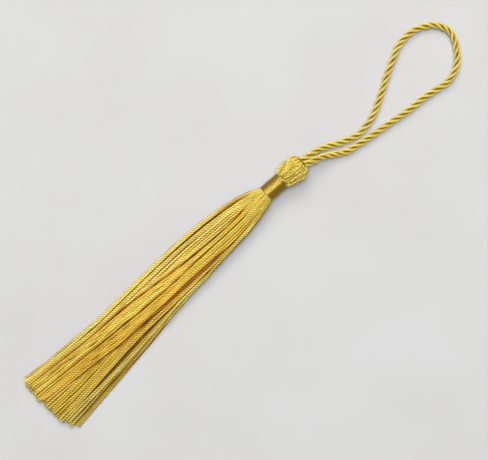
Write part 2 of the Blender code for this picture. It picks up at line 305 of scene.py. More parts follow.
# Settling: rounds, of which the last only push yarns apart. In the others they are also pulled to
# their goal, held near the neck, let fall and smoothed.
RELAX_ROUNDS = 220
LAST_ROUNDS = 25
TOP_PULL = 0.20
UNDER_PULL = 0.03
NECK_HOLD = 0.10
TOP_FALL = 0.012
COVERED_FALL = 0.014
UNDER_FALL = 0.022
SMOOTHING = 0.35
YARN_PUSH = 0.40
LINE_PUSH = 0.5
SIDE_HOLD = 0.5

# The skirt's section is round at the neck. Where it is flat, it is squarer and holds yarns less.
ROUND_POWER = 2.0
FLAT_POWER = 4.0
SECTION_HOLD = 1.3
FLAT_RELEASE = 1.5
RIGHT_SLACK = 0.1

# Each row: place across X, how far down -Y the yarns reach there.
TIP_ENDS = (
    (-10.5, -78.7), (-8.8, -79.4), (-6.9, -79.9), (-4.0, -80.0), (0.0, -80.1), (2.0, -79.9),
    (3.6, -79.6), (4.6, -78.8), (7.4, -78.4),
)
LONGEST_END = 80.3
TIP_JITTER = 0.35
UNDER_SHORTER = 0.3
YARNS_A_PIECE = 20

# Filaments that part at the cut end of each yarn, in millimetres.
END_FILAMENTS = 24
FILAMENT_RADIUS = 0.019
FILAMENT_START = 0.35
FILAMENT_REACH = (0.15, 0.70)
FILAMENT_SPREAD = 0.30
FILAMENT_PALE = 0.65
FILAMENT_RINGS = 4
FILAMENT_SIDES = 3

# Light reaches buried yarns again near their cut ends: share of it, and how far up it reaches.
END_LIGHT = 0.5
END_LIGHT_REACH = 4.0

# Plies stand out less towards the cut ends. Each row: place down the skirt, share of the groove.
YARN_GROOVE = 0.34
GROOVE_RUN = ((14.0, 1.0), (26.0, 0.80), (45.0, 0.64), (60.0, 0.52), (82.0, 0.45))
YARN_FULLNESS = 1.18

# Corners round a yarn, and rings in one lay of it.
TOP_FINENESS = (8, 10)
UNDER_FINENESS = (6, 6)

# Yarns under others are painted darker and warmer, as shade. Others count this near across, and
# from this much higher up to that, in yarn thicknesses.
BURIED_NEAR = 2.6
BURIED_FROM = 0.3
BURIED_MOST = 1.5
SHADE_WARMTH = (0.62, 1.08, 2.20)

# Each row: place down the skirt, share of that shade. It is least near the neck.
BURIED_RUN = ((42.0, 1.0), (56.0, 1.6), (82.0, 1.6))
NECK_LEAST = 0.15
NECK_PRESSED = -10.0
NECK_OPENING = 8.0

# Colour left in the light that reaches the sides and the underside of a yarn: its run down the
# yarn's height, its mean share, drift and most, and the parts of a yarn between two draws.
SIDE_SHADE = (0.84, 0.69, 0.45)
SIDE_RUN = (0.45, -0.35 - 0.45)
SIDE_MEAN = 0.9
SIDE_DRIFT = 1.0
SIDE_MOST = 3.0
SIDE_PARTS = 6

# Close to the binding all yarns are painted paler: painted light, as they lie less in shade there.
NECK_GOLD = (0.62, 0.56, 0.12)
NECK_PAINTED_LIGHT = 0.6
NECK_PAINTED_LIGHT_RUN = (18.0, -6.0)

# How strongly the painted shade on the yarns' sides shows. Each row: place down the skirt,
# strength. The yarns part lower down.
SIDE_STRENGTH = ((8.0, 0.1), (12.0, 0.2), (22.0, 0.8), (42.0, 1.1), (60.0, 4.2), (82.0, 4.6))

# How light the skirt's colour is, darker lower down. Each row: place down the skirt, share of its
# full lightness.
SKIRT_TONE = ((8.0, 0.95), (40.0, 0.93), (56.0, 0.85), (82.0, 0.79))

# Nothing of the tassel is drawn lower than this.
FLOOR_GAP = 0.00001

# Dyed silk, in linear colour: lemon gold, orange gold and pale gold. Its gloss is golden too,
# patches lean towards peach, and strands differ in how they mix the golds and in lightness.
GOLDS = ((0.56, 0.53, 0.072), (0.66, 0.445, 0.055), (0.70, 0.65, 0.200))
GLOSS_TINT = (1.0, 0.85, 0.22, 1.0)
THREAD_GLOSS = (1.0, 0.91, 0.20, 1.0)
PEACH_CAST = (1.05, 0.93, 0.88, 1.0)
# Colour of the painted shade in grooves and where a strand lies under others.
GROOVE_SHADE = (0.38, 0.22, 0.06, 1.0)
GOLD_MIXING = 3.5
GOLD_CHANGE = 0.07

# Each row: name, direction from the middle of the view, distance, size, power and colour.
LIGHTS = (
    ("key_light", (-0.85, 0.50, 1.10), 1.20, 0.80, 13.2, (1.0, 0.98, 0.95)),
    ("over_light", (-0.06, 0.10, 1.0), 1.40, 0.80, 24.8, (1.0, 1.0, 1.0)),
    ("fill_light", (0.9, -0.35, 0.55), 1.20, 0.60, 1.0, (1.0, 1.0, 1.0)),
)
FLOOR_REACH = 1.5
FLOOR_DARK = (0.36, 0.36, 0.36, 1.0)
FLOOR_PALE = (0.385, 0.385, 0.39, 1.0)


def column(rows, index, places):
    """One column of a table, read between its rows at these places along its first column."""
    rows = sorted(rows)
    return np.interp(places, [row[0] for row in rows], [row[index] for row in rows])


def unit(vectors):
    """These directions, with length 1."""
    return vectors / np.linalg.norm(vectors, axis=-1, keepdims=True)


def ramp(values, start, reach):
    """0 up to the start, 1 from its reach on (downwards if negative), and straight in between."""
    return np.clip((values - start) / reach, 0.0, 1.0)


def run_along(lines):
    """How far along its line each point lies."""
    steps = np.linalg.norm(np.diff(lines, axis=1), axis=2)
    return np.concatenate((np.zeros((len(lines), 1)), np.cumsum(steps, axis=1)), axis=1)


def axis_frame():
    """The head's axis: origin, direction along it, and two directions across it."""
    along = Vector((math.sin(AXIS_LEAN), math.cos(AXIS_LEAN), 0.0))
    across = Vector((math.cos(AXIS_LEAN), -math.sin(AXIS_LEAN), 0.0))
    rows = ((0.0, 0.0, AXIS_HEIGHT), along, across, (0.0, 0.0, 1.0))
    return tuple(np.array(row) for row in rows)


def eased(t, start, end, start_slope, end_slope):
    """A smooth step from start to end (t from 0 to 1) that sets off and arrives at these slopes."""
    return (
        start * (2.0 * t**3 - 3.0 * t**2 + 1.0)
        + end * (3.0 * t**2 - 2.0 * t**3)
        + start_slope * (t**3 - 2.0 * t**2 + t)
        + end_slope * (t**3 - t**2)
    )


def curve_through(keys, values, places):
    """Smooth curves through rows of values at rising keys, read at these places."""
    slopes = np.gradient(values, keys, axis=0)
    spot = np.clip(np.searchsorted(keys, places, side="right") - 1, 0, len(keys) - 2)
    span = (keys[spot + 1] - keys[spot])[:, None]
    t = (places - keys[spot])[:, None] / span
    return eased(t, values[spot], values[spot + 1], slopes[spot] * span, slopes[spot + 1] * span)


def wander(shape, cell, size):
    """Smooth random drift along the last axis, with a knot each cell entries."""
    knots = draws.normal(0.0, 1.0, shape[:-1] + (shape[-1] // cell + 3,))
    places = np.arange(shape[-1]) / cell
    spot = places.astype(int)
    t = places - spot
    t = t * t * (3.0 - 2.0 * t)
    return size * (knots[..., spot] * (1.0 - t) + knots[..., spot + 1] * t)


def star(sides, plies, depth):
    """Outline of a strand of plies: angle and radius of each corner, and how deep it lies (0 to 1).

    With an odd number of corners a ply, one corner lies in each groove and the rest on the ply.
    """
    angles = TURN * np.arange(sides) / sides
    turned = angles + (math.pi / sides if (sides // plies) % 2 else 0.0)
    valley = 0.5 - 0.5 * np.cos(plies * turned)
    return angles, 1.0 - depth * valley, valley


def sweep(centres, ups, radii, spins, outline):
    """Rings of an outline along strands: an array of strands, rings, corners and x, y, z."""
    angles, reach = outline[:2]
    along = unit(np.gradient(centres, axis=1))
    side = unit(np.cross(ups, along))
    up = np.cross(along, side)
    turned = spins[..., None] + angles
    spread = radii[..., None] * reach
    sideways, upwards = (spread * np.cos(turned))[..., None], (spread * np.sin(turned))[..., None]
    return centres[:, :, None] + sideways * side[:, :, None] + upwards * up[:, :, None]


def placed(name, data):
    """A new object in the scene, with this data."""
    thing = bpy.data.objects.new(name, data)
    bpy.context.scene.collection.objects.link(thing)
    return thing


def strand_piece(name, rings, valley, turned, tints, folds, material):
    """One mesh of closed strands, with their colour, their grooves and a flat map of their skin.

    turned is how far each ring's skin is turned, and folds the number of rows that one strand
    takes up in the flat map.
    """
    strands, count, sides = rings.shape[:3]
    index = np.arange(strands * count * sides).reshape(strands, count, sides)
    beside = np.roll(index, -1, axis=2)
    walls = np.stack((index[:, :-1], beside[:, :-1], beside[:, 1:], index[:, 1:]), -1)
    caps = np.stack((index[:, 0, ::-1], index[:, -1]))
    loops = np.concatenate((walls.ravel(), caps.ravel()))
    first = (np.arange(0, walls.size, 4), np.arange(walls.size, loops.size, sides))
    first = np.concatenate(first)
    mesh = bpy.data.meshes.new(name)
    mesh.vertices.add(index.size)
    mesh.vertices.foreach_set("co", rings.astype(np.float32).ravel())
    mesh.loops.add(len(loops))
    mesh.loops.foreach_set("vertex_index", loops.astype(np.int32))
    mesh.polygons.add(len(first))
    mesh.polygons.foreach_set("loop_start", first.astype(np.int32))
    mesh.update(calc_edges=True)
    mesh.shade_smooth()

    colours = np.ones((strands, count, sides, 4), np.float32)
    colours[..., :3] = tints
    angles = TURN * np.arange(sides) / sides
    skin = np.empty((strands, count, sides, 3), np.float32)
    skin[..., 0] = np.cos(turned[..., None] + angles)
    skin[..., 1] = np.sin(turned[..., None] + angles)
    run = run_along(rings.mean(axis=2))
    skin[..., 2] = run[..., None] / MM + 7.0 * np.arange(strands)[:, None, None]
    for key, kind, field, values in (
        ("tint", "FLOAT_COLOR", "color", colours),
        ("groove", "FLOAT", "value", np.broadcast_to(valley, index.shape)),
        ("strand", "FLOAT_VECTOR", "vector", skin),
    ):
        data = mesh.attributes.new(key, kind, "POINT").data
        data.foreach_set(field, values.astype(np.float32).ravel())

    # Rows of the flat map fill 0.98 of its length and 0.8 of their height, beside the small caps.
    bands = strands * folds
    each = math.ceil((count - 1) / folds)
    ring = np.arange(count - 1)
    band = np.arange(strands)[:, None] * folds + ring // each
    left = 0.01 + 0.98 * (ring % each) / each
    low = (band[..., None] + 0.1 + 0.8 * np.arange(sides) / sides) / bands
    corner = np.empty(walls.shape + (2,), np.float32)
    corner[..., :2, 0] = left[:, None, None]
    corner[..., 2:, 0] = (left + 0.98 / each)[:, None, None]
    corner[..., 0, 1] = corner[..., 3, 1] = low
    corner[..., 1, 1] = corner[..., 2, 1] = low + 0.8 / sides / bands
    cap = np.empty((2, strands, sides, 2), np.float32)
    cap[..., 0] = 0.004 + 0.002 * np.cos(angles)
    cap[1, ..., 0] += 0.99
    middle = np.arange(strands)[:, None] * folds + 0.5
    cap[..., 1] = (middle + 0.3 * np.sin(angles)) / bands
    layer = mesh.uv_layers.new(name="OFBake", do_init=False)
    layer.uv.foreach_set("vector", np.concatenate((corner.ravel(), cap.ravel())))

    mesh.materials.append(material)
    return placed(name, mesh)


def fill(tree, node, values):
    """Sets a node's inputs to constants, or links other nodes' sockets to them."""
    for key, value in values.items():
        socket = node.inputs[key]
        if isinstance(value, (int, float, tuple)):
            socket.default_value = value
        else:
            tree.links.new(value, socket)


def new_node(tree, kind, values, **settings):
    """A node of this kind with these inputs and settings."""
    node = tree.nodes.new(kind)
    for key, value in settings.items():
        setattr(node, key, value)
    fill(tree, node, values)
    return node


def attribute(tree, name, output):
    """What the mesh says of itself under this name."""
    return new_node(tree, "ShaderNodeAttribute", {}, attribute_name=name).outputs[output]


def maths(tree, operation, first, second):
    """A sum or product of two sockets or constants."""
    values = {0: first, 1: second}
    return new_node(tree, "ShaderNodeMath", values, operation=operation).outputs[0]


def mixed(tree, share, first, second, blend="MIX"):
    """Colour mix. Each of the three may be a socket or a constant."""
    values = {0: share, 6: first, 7: second}
    node = new_node(tree, "ShaderNodeMix", values, data_type="RGBA", blend_type=blend)
    return node.outputs[2]


def streaks(tree, vector, scale, detail):
    """Noise in a strand's own skin, stretched by the scale (round it, round it, along it)."""
    stretch = new_node(tree, "ShaderNodeMapping", {"Scale": scale, "Vector": vector})
    values = {"Scale": 1.0, "Detail": detail, "Roughness": 0.6, "Vector": stretch.outputs[0]}
    return new_node(tree, "ShaderNodeTexNoise", values).outputs["Fac"]


def ranged(tree, value, low, high):
    """Noise between its usual ends, laid on a range."""
    values = {"Value": value, "From Min": 0.3, "From Max": 0.7, "To Min": low, "To Max": high}
    return new_node(tree, "ShaderNodeMapRange", values).outputs[0]


def silk(
    name, scale, height, groove_share, rough=0.36, dull=0.40, gloss=1.75, tint=GLOSS_TINT, metal=0.0
):
    """Silk filaments: each strand's own colour, with painted shade in its grooves, finely streaked
    along.

    scale and height are those of the filaments, groove_share the strength of the painted shade in
    the grooves, dull how much rougher they are, and gloss an index of refraction.
    """
    material = bpy.data.materials.new(name)
    material.use_nodes = True
    tree = material.node_tree
    own = attribute(tree, "tint", "Color")
    groove = attribute(tree, "groove", "Fac")
    strand = attribute(tree, "strand", "Vector")
    fine = streaks(tree, strand, scale, 3.0)
    slow = streaks(tree, strand, (0.6, 0.6, 0.25), 2.0)
    patches = streaks(tree, strand, (0.5, 0.5, 0.17), 1.0)
    fine_light = ranged(tree, fine, 0.76, 1.18)
    slow_light = ranged(tree, slow, 0.86, 1.10)
    shade = maths(tree, "MULTIPLY", fine_light, slow_light)
    lit = mixed(tree, 1.0, own, shade, "MULTIPLY")
    peach = mixed(tree, 1.0, lit, PEACH_CAST, "MULTIPLY")
    lit = mixed(tree, ranged(tree, patches, -0.2, 1.2), lit, peach)
    # Painted shade in the grooves.
    deep = mixed(tree, 1.0, lit, GROOVE_SHADE, "MULTIPLY")
    share = maths(tree, "MULTIPLY", groove, groove_share)
    duller = maths(tree, "MULTIPLY", groove, dull)
    rougher = maths(tree, "ADD", ranged(tree, fine, rough - 0.07, rough + 0.09), duller)
    bump = {"Strength": 0.8, "Distance": height, "Height": fine}
    values = {
        "Base Color": mixed(tree, share, lit, deep),
        "Roughness": rougher,
        "IOR": gloss,
        "Metallic": metal,
        "Specular Tint": tint,
        "Normal": new_node(tree, "ShaderNodeBump", bump).outputs[0],
    }
    fill(tree, tree.nodes["Principled BSDF"], values)
    return material


def add_camera():
    """The photograph's camera."""
    data = bpy.data.cameras.new("photo_camera")
    data.sensor_width = SENSOR
    data.sensor_fit = "HORIZONTAL"
    data.lens = SENSOR * CAMERA_DISTANCE / VIEW_WIDTH
    data.clip_start = 0.01
    data.clip_end = 10.0
    camera = placed("photo_camera", data)
    right = Vector((1.0, 1.0, 0.0)).normalized()
    up = Vector((-1.0, 1.0, 0.0)).normalized()
    turn = Matrix((right, up, right.cross(up))).transposed()
    place = Vector(VIEW_CENTRE) + Vector((0.0, 0.0, CAMERA_DISTANCE))
    camera.matrix_world = Matrix.Translation(place) @ turn.to_4x4()
    bpy.context.scene.camera = camera


def smooth_points(route, step):
    """Points about a step apart on a smooth curve through the route's points."""
    places = [Vector(row) for row in route]
    places = [2.0 * places[0] - places[1]] + places + [2.0 * places[-1] - places[-2]]
    dense = []
    for before, start, end, after in zip(places, places[1:], places[2:], places[3:]):
        span = (end - start).length
        start_slope = (end - before) * span / ((start - before).length + span)
        end_slope = (after - start) * span / ((after - end).length + span)
        for tick in range(CURVE_TICKS):
            dense.append(eased(tick / CURVE_TICKS, start, end, start_slope, end_slope))
    dense.append(places[-2])
    dense = np.array([tuple(point) for point in dense])
    run = run_along(dense[None])[0]
    even = np.linspace(0.0, run[-1], round(run[-1] / step) + 1)
    return np.stack([np.interp(even, run, dense[:, axis]) for axis in range(3)], axis=1)


def cord_tints(rings, line, side):
    """The cord's colour: painted shade between the plies, and painted sheen at its two sides."""
    apart = rings - line[:, None]
    level = np.linalg.norm(apart, axis=3) / (CORD_DIAMETER / 2.0)
    share = ramp(level, *CORD_SHADE_RUN)
    spread = np.abs((apart * side[:, None]).sum(axis=3)) / (CORD_DIAMETER / 2.0)
    # Painted sheen on the cord's two sides, with less painted shade there.
    edge = CORD_SHEEN_SHARE * ramp(spread, *CORD_SHEEN_RUN)[..., None]
    tints = np.array(CORD_TINT) * (1.0 - edge) + np.array(CORD_SHEEN_COLOUR) * edge
    return tints * np.array(CORD_SHADE) ** (share[..., None] * (1.0 - edge))


def add_cord():
    """The hanging loop: three plies of yarns twisted together, with a little life in each ply."""
    line = smooth_points(CORD_ROUTE, CORD_STEP)
    hidden = np.arange(1, CORD_HIDDEN_RINGS + 1)[:, None]
    before = (line[0] + hidden * (line[0] - line[1]))[::-1]
    after = line[-1] + hidden * (line[-1] - line[-2])
    line = np.concatenate((before, line, after))
    count = len(line)
    run = np.arange(count) * CORD_STEP
    along = unit(np.gradient(line, axis=0))
    side = unit(np.cross((0.0, 0.0, 1.0), along))
    up = np.cross(along, side)

    # The plies are three equal circles that touch inside the cord's outline.
    ply_radius = CORD_DIAMETER / 2.0 / (1.0 + 2.0 / math.sqrt(3.0)) * PLY_FULLNESS
    offset = CORD_DIAMETER / 2.0 - ply_radius
    centres = []
    for ply in range(3):
        angle = TURN * (run / CORD_LAY + ply / 3.0) + wander((count,), *ANGLE_DRIFT)
        reach = (offset * (1.0 + wander((count,), *REACH_DRIFT)))[:, None]
        sideways, upwards = reach * np.cos(angle)[:, None], reach * np.sin(angle)[:, None]
        centres.append(line + sideways * side + upwards * up)
    centres = np.array(centres)
    shape = (3, count)
    spins = np.broadcast_to(-TURN * run / PLY_LAY, shape) + wander(shape, *SPIN_DRIFT)
    radii = ply_radius * (1.0 + wander(shape, *SIZE_DRIFT))
    outline = star(PLY_SIDES, PLY_YARNS, PLY_GROOVE)
    rings = sweep(centres, centres - line, radii, spins, outline)
    tints = cord_tints(rings, line, side)
    rings[..., 2] = np.maximum(rings[..., 2], FLOOR_GAP)
    turned = SKIN_TURN * spins
    piece = strand_piece("cord_loop", rings, outline[2], turned, tints, 4, cord_silk)
    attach(piece, "root")
    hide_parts("hanging_cord")


def gold_tints(count, shares):
    """A colour for each strand, between the three golds, of somewhat different lightness."""
    weights = draws.dirichlet(np.array(shares) * GOLD_MIXING, count)
    return weights @ np.array(GOLDS) * (1.0 + draws.normal(0.0, GOLD_CHANGE, (count, 1)))


def add_binding():
    """Fine doubled thread wound round the neck in close turns, its ends tucked under."""
    origin, along, across, up = axis_frame()
    count = round(BINDING_TURNS * RINGS_A_TURN) + 1
    share = np.linspace(0.0, 1.0, count)
    turn = TURN * BINDING_TURNS * share
    tuck = 1.0 - ramp(np.minimum(share, 1.0 - share) * BINDING_TURNS, 0.0, TUCK_TURNS)
    strand = np.array((0.0, 1.0))[:, None]
    radius = BINDING_RADIUS - THREAD_FLATNESS * THREAD_DIAMETER / 2.0 - TUCK_DEPTH * tuck
    radius = radius - SECOND_THREAD_DEPTH * strand + wander((2, count), *DEPTH_DRIFT)
    place = BINDING_TOP + (BINDING_END - BINDING_TOP) * share
    place = place + THREAD_SPACING * (0.5 - strand) + wander((2, count), *PLACE_DRIFT)
    out = np.cos(turn)[:, None] * across + np.sin(turn)[:, None] * up
    centres = origin + place[..., None] * along + radius[..., None] * out
    outline = star(THREAD_SIDES, 2, THREAD_GROOVE)
    length = TURN * BINDING_RADIUS * BINDING_TURNS
    spins = TURN * share * length / THREAD_LAY + strand
    radii = np.full((2, count), THREAD_DIAMETER / 2.0 * THREAD_FULLNESS)
    rings = sweep(centres, out[None], radii, spins, outline)

    # The thread lies flattened on the neck.
    apart = rings - centres[:, :, None]
    raised = (apart * out[None, :, None]).sum(axis=3)
    rings = rings - (1.0 - THREAD_FLATNESS) * raised[..., None] * out[None, :, None]
    apart = unit(apart)
    sideways = (apart @ along) * np.array((1.0, -1.0))[:, None, None]
    raised = (apart * out[None, :, None]).sum(axis=3)
    shade = np.clip(PAIR_SIDE * sideways - PAIR_OUT * raised + PAIR_BASE, 0.0, 1.0)
    tints = np.array(BINDING_TINT) * np.array(PAIR_SHADE) ** shade[..., None]
    grooves = np.maximum(0.5 * outline[2], shade)
    turned = SKIN_TURN * spins
    piece = strand_piece("binding_thread", rings, grooves, turned, tints, 6, thread_silk)
    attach(piece, "root")
    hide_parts("neck_binding")


def add_yarns(name, make, centres, ups, outward, radii, tints, deep, side_share):
    """A piece of twisted yarns, attached to the root, that stands in for the tassel's CAD part.

    make holds a yarn's corners, its plies, its lay and the depth of its grooves. outward is the
    side that the light reaches, deep how far a yarn lies under others (0 to 1), and side_share
    how much painted shade its sides take.
    """
    sides, plies, lay, depth = make
    run = run_along(centres)
    lays = lay * (1.0 + draws.normal(0.0, LAY_CHANGE, (len(centres), 1)))
    spins = TURN * run / lays + draws.uniform(0.0, TURN, (len(centres), 1))
    spins = spins + wander(run.shape, *TWIST_DRIFT)
    outline = star(sides, plies, depth)
    rings = sweep(centres, ups, radii, spins, outline)
    level = ((rings - centres[:, :, None]) * outward).sum(axis=3) / radii[..., None]
    share = ramp(level, *SIDE_RUN) * side_share[..., None]
    colours = tints[:, :, None, :] * np.array(SIDE_SHADE) ** share[..., None]
    grooves = 1.0 - (1.0 - outline[2]) * (1.0 - deep[..., None])
    rings[..., 2] = np.maximum(rings[..., 2], FLOOR_GAP)
    turned = YARN_SKIN_TURN * spins
    piece = strand_piece(name, rings, grooves, turned, colours, 1, yarn_silk)
    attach(piece, "root")
    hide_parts("yarn_tassel")


def outer_shade(angles, radius, half):
    """Light left on each outer yarn of the head (1 full) where others beside it lie higher."""
    apart = angles[:, None] - angles[None]
    apart = np.abs((apart + math.pi) % TURN - math.pi) * radius / (2.0 * half)
    higher = (radius[None] - radius[:, None]) / (2.0 * half)
    near = np.clip(HEAD_NEAR - apart, 0.0, 1.0)
    buried = (near * np.clip(higher - HEAD_HIGHER, 0.0, 1.0)).sum(axis=1)
    return 1.0 / (1.0 + HEAD_BURIED * buried)


def add_head():
    """Yarns laid over the head from the neck to the cord, over a closed layer of others."""
    origin, along, across, up = axis_frame()
    profile = np.array(HEAD_PROFILE) * MM
    keys = np.arange(len(profile), dtype=float)
    line = curve_through(keys, profile, np.linspace(0.0, keys[-1], HEAD_RINGS))
    inner_count = HEAD_LAYERS[1][1]
    half = math.pi * line[:, 1] / inner_count * HEAD_CLOSENESS
    half = np.minimum(HEAD_HALF_THICKNESS, half)
    for name, count, depth, uneven, stray, shares, make in HEAD_LAYERS:
        shape = (count, HEAD_RINGS)
        evenly = TURN * (np.arange(count)[:, None] + 0.5) / count
        angles = evenly + wander(shape, HEAD_DRIFT_RINGS, stray)
        drift = wander(shape, HEAD_DRIFT_RINGS, HEAD_DEPTH_DRIFT)
        sunk = depth + uneven * np.clip(0.5 + drift, 0.0, 1.0)
        radius = line[:, 1] - half - sunk * MM
        out = np.cos(angles)[..., None] * across + np.sin(angles)[..., None] * up
        centres = origin + line[:, 0][:, None] * along + radius[..., None] * out
        ups = np.cross(along, out)
        radii = np.broadcast_to(half * HEAD_FULLNESS, shape)
        tints = HEAD_TONE * gold_tints(count, shares)[:, None]
        # Painted sheen: the head's sides are painted paler.
        edge = HEAD_PAINTED_SHEEN * ramp(np.abs(out @ across), *HEAD_SHEEN_RUN)[..., None]
        tints = tints * (1.0 - edge) + np.array(HEAD_SHEEN_COLOUR) * edge
        if depth > 0.0:
            shade = np.full(shape, HEAD_INNER_SHADE)
        else:
            shade = outer_shade(angles, radius, half)
        tints = tints * shade[..., None] ** HEAD_WARMTH
        fold = ramp(line[:, 1] / MM, *FOLD_RUN) * (line[:, 0] > 0.0)
        fold = fold * ramp(out[..., 2], 0.5, 0.5)
        tints = tints * np.array(FOLD_SHADE) ** fold[..., None]
        sides = np.full(shape, HEAD_SIDE_SHARE)
        add_yarns(name, make, centres, ups, out[:, :, None], radii, tints, 1.0 - shade, sides)


def neck_spots(count):
    """Places in a disc of radius 1, packed as close yarns are, nearest the middle first."""
    spots = []
    for row in range(-9, 10):
        for step in range(-9, 10):
            spots.append((step + 0.5 * (row % 2), row * math.sqrt(0.75)))
    spots = np.array(spots)
    spots = spots[np.argsort(np.hypot(*(spots - (0.13, 0.07)).T))][:count]
    return spots / np.hypot(*spots.T).max()


def top_targets(places):
    """Where each upper yarn lies across X at each place, and how far it runs under a lock."""
    targets, covers = [], []
    loose = ramp(places, *LOOSE_RUN)
    last = len(LOCKS) - 1
    for lock, (yarns, edge, pitch) in enumerate(LOCKS):
        left = column(LOCK_EDGES, 1 + lock, places)
        right = column(LOCK_EDGES, 2 + lock, places)
        if lock > 0:
            left = left + column(LOCK_GAPS, lock, places) / 2.0
        if lock < last:
            right = right - column(LOCK_GAPS, lock + 1, places) / 2.0
        even = (right - left) / yarns
        step = even * (1.0 - loose) + np.clip(even, pitch, PITCH_MOST * pitch) * loose
        if lock == last:
            step = np.minimum(step, even)
        uneven = wander((yarns, len(places)), *PITCH_DRIFT)
        uneven = np.clip(uneven, PITCH_LEAST, 1.0)
        shares = 1.0 + uneven * loose
        shares = shares / shares.mean(axis=0)
        spots = np.cumsum(shares, axis=0) - 0.5 * shares
        start = right - step * yarns if edge else left
        across = start + step * spots
        under = left - across if edge else across - right
        targets.extend(across)
        covers.extend(np.clip(under / COVER_SLOPE + 0.5, 0.0, 1.0) * loose)
    return np.array(targets), np.array(covers)


def line_places(places, goal):
    """Across X and width of the open line at the left of each lock but the first."""
    across, widths = [], []
    for line in range(1, len(LOCKS)):
        first = sum(LOCK_YARNS[:line])
        middle = (goal[first - 1] + goal[first]) / 2.0
        outer = line in (1, len(LOCKS) - 1)
        across.append(middle if outer else column(LOCK_EDGES, 1 + line, places))
        widths.append(column(LOCK_GAPS, line, places))
    return np.array(across), np.array(widths)


def settle(places, x, z, goal, covers, section):
    """Moves the yarns' centre lines until they lie on each other inside the skirt's section.

    half and height say how far a yarn's middle may lie from the section's middle.
    """
    left, right, under, top, flat, diameter, middle, half, centre, height = section
    top_count = sum(LOCK_YARNS)
    is_top = np.arange(len(x)) < top_count
    rest_z = z.copy()

    # The upper yarns keep to their side of an open line, and the others make way below it.
    line_x, width = line_places(places, goal)
    half_width = (diameter + width) / 2.0
    is_open = width > OPEN_WIDTH
    lock = np.repeat(np.arange(len(LOCKS)), LOCK_YARNS)
    shut = np.zeros((1, len(places)), bool)
    nowhere = np.zeros((1, len(places)))
    left_bound = np.concatenate((nowhere, line_x + half_width))[lock]
    right_bound = np.concatenate((line_x - half_width, nowhere))[lock]
    left_hold = np.concatenate((shut, is_open))[lock] * (1.0 - covers)
    right_hold = np.concatenate((is_open, shut))[lock] * (1.0 - covers)
    layers = len(CREVICE_LAYERS)
    drops = np.repeat(CREVICE_LAYERS, len(line_x))[:, None] * diameter
    hole_x = np.tile(line_x, (layers, 1))
    hole_reach = np.tile(np.where(is_open, half_width, 0.0), (layers, 1))
    hole_z = top - drops

    pull = np.where(is_top, TOP_PULL, UNDER_PULL)[:, None]
    fall = np.full(x.shape, UNDER_FALL)
    fall[:top_count] = TOP_FALL + COVERED_FALL * covers
    same_kind = is_top[:, None] == is_top[None]
    closeness = np.where(same_kind, CLOSENESS, CLOSENESS * LAYER_SPACE)[..., None]
    power = ROUND_POWER + FLAT_POWER * flat

    # Each yarn is smoothed towards the mean of its neighbouring places, except at its lower end.
    near = 1.0 / np.abs(np.diff(places))
    weight_before = np.concatenate(((0.0,), near))
    weight_after = np.concatenate((near, (0.0,)))
    total = weight_before + weight_after
    for turn in range(RELAX_ROUNDS):
        if turn <= RELAX_ROUNDS - LAST_ROUNDS:
            x += pull * (goal - x)
            z += NECK_HOLD * (1.0 - flat) * (rest_z - z)
            z -= fall * flat
            for line in (x, z):
                before = np.concatenate((line[:, :1], line[:, :-1]), axis=1)
                after = np.concatenate((line[:, 1:], line[:, -1:]), axis=1)
                mean = (before * weight_before + after * weight_after) / total
                line += SMOOTHING * (mean - line) * (total > near.min())
        dx = x[:, None] - x[None]
        dz = z[:, None] - z[None]
        gap = np.sqrt(dx * dx + dz * dz) + TINY
        push = np.clip(diameter * closeness - gap, 0.0, None) / gap * YARN_PUSH
        x += (push * dx).sum(axis=1) / 2.0
        z += (push * dz).sum(axis=1) / 2.0
        dx = x[top_count:, None] - hole_x
        dz = z[top_count:, None] - hole_z
        gap = np.sqrt(dx * dx + dz * dz) + TINY
        push = np.clip(hole_reach - gap, 0.0, None) / gap * LINE_PUSH
        x[top_count:] += (push * dx).sum(axis=1)
        x[:top_count] += SIDE_HOLD * left_hold * np.clip(left_bound - x[:top_count], 0.0, None)
        x[:top_count] -= SIDE_HOLD * right_hold * np.clip(x[:top_count] - right_bound, 0.0, None)
        u = np.abs((x - middle) / half)
        v = np.abs((z - centre) / height)
        reach = (u**power + v**power) ** (1.0 / power)
        hold = np.clip(SECTION_HOLD - FLAT_RELEASE * flat, 0.0, 1.0)
        shrink = 1.0 + (1.0 / np.maximum(reach, 1.0) - 1.0) * hold
        x = middle + (x - middle) * shrink
        z = centre + (z - centre) * shrink
        x = np.clip(x, left + diameter / 2.0, right + RIGHT_SLACK - diameter / 2.0)
        z = np.maximum(z, under + diameter / 2.0)
    return x, z


def skirt_shade(places, x, z, diameter, covers):
    """Light left on each yarn of the skirt (1 full) where others lie over it."""
    dx = np.abs(x[:, None] - x[None]) / diameter
    dz = (z[None] - z[:, None]) / diameter
    near = np.clip(1.0 - dx / BURIED_NEAR, 0.0, 1.0)
    buried = (near * np.clip(dz - BURIED_FROM, 0.0, BURIED_MOST)).sum(axis=1)
    buried[: len(covers)] += COVER_SHADE * covers
    strength = np.clip((NECK_PRESSED - places) / NECK_OPENING, NECK_LEAST, 1.0)
    strength = strength * column(BURIED_RUN, 1, -places)
    return 1.0 / (1.0 + strength * buried)


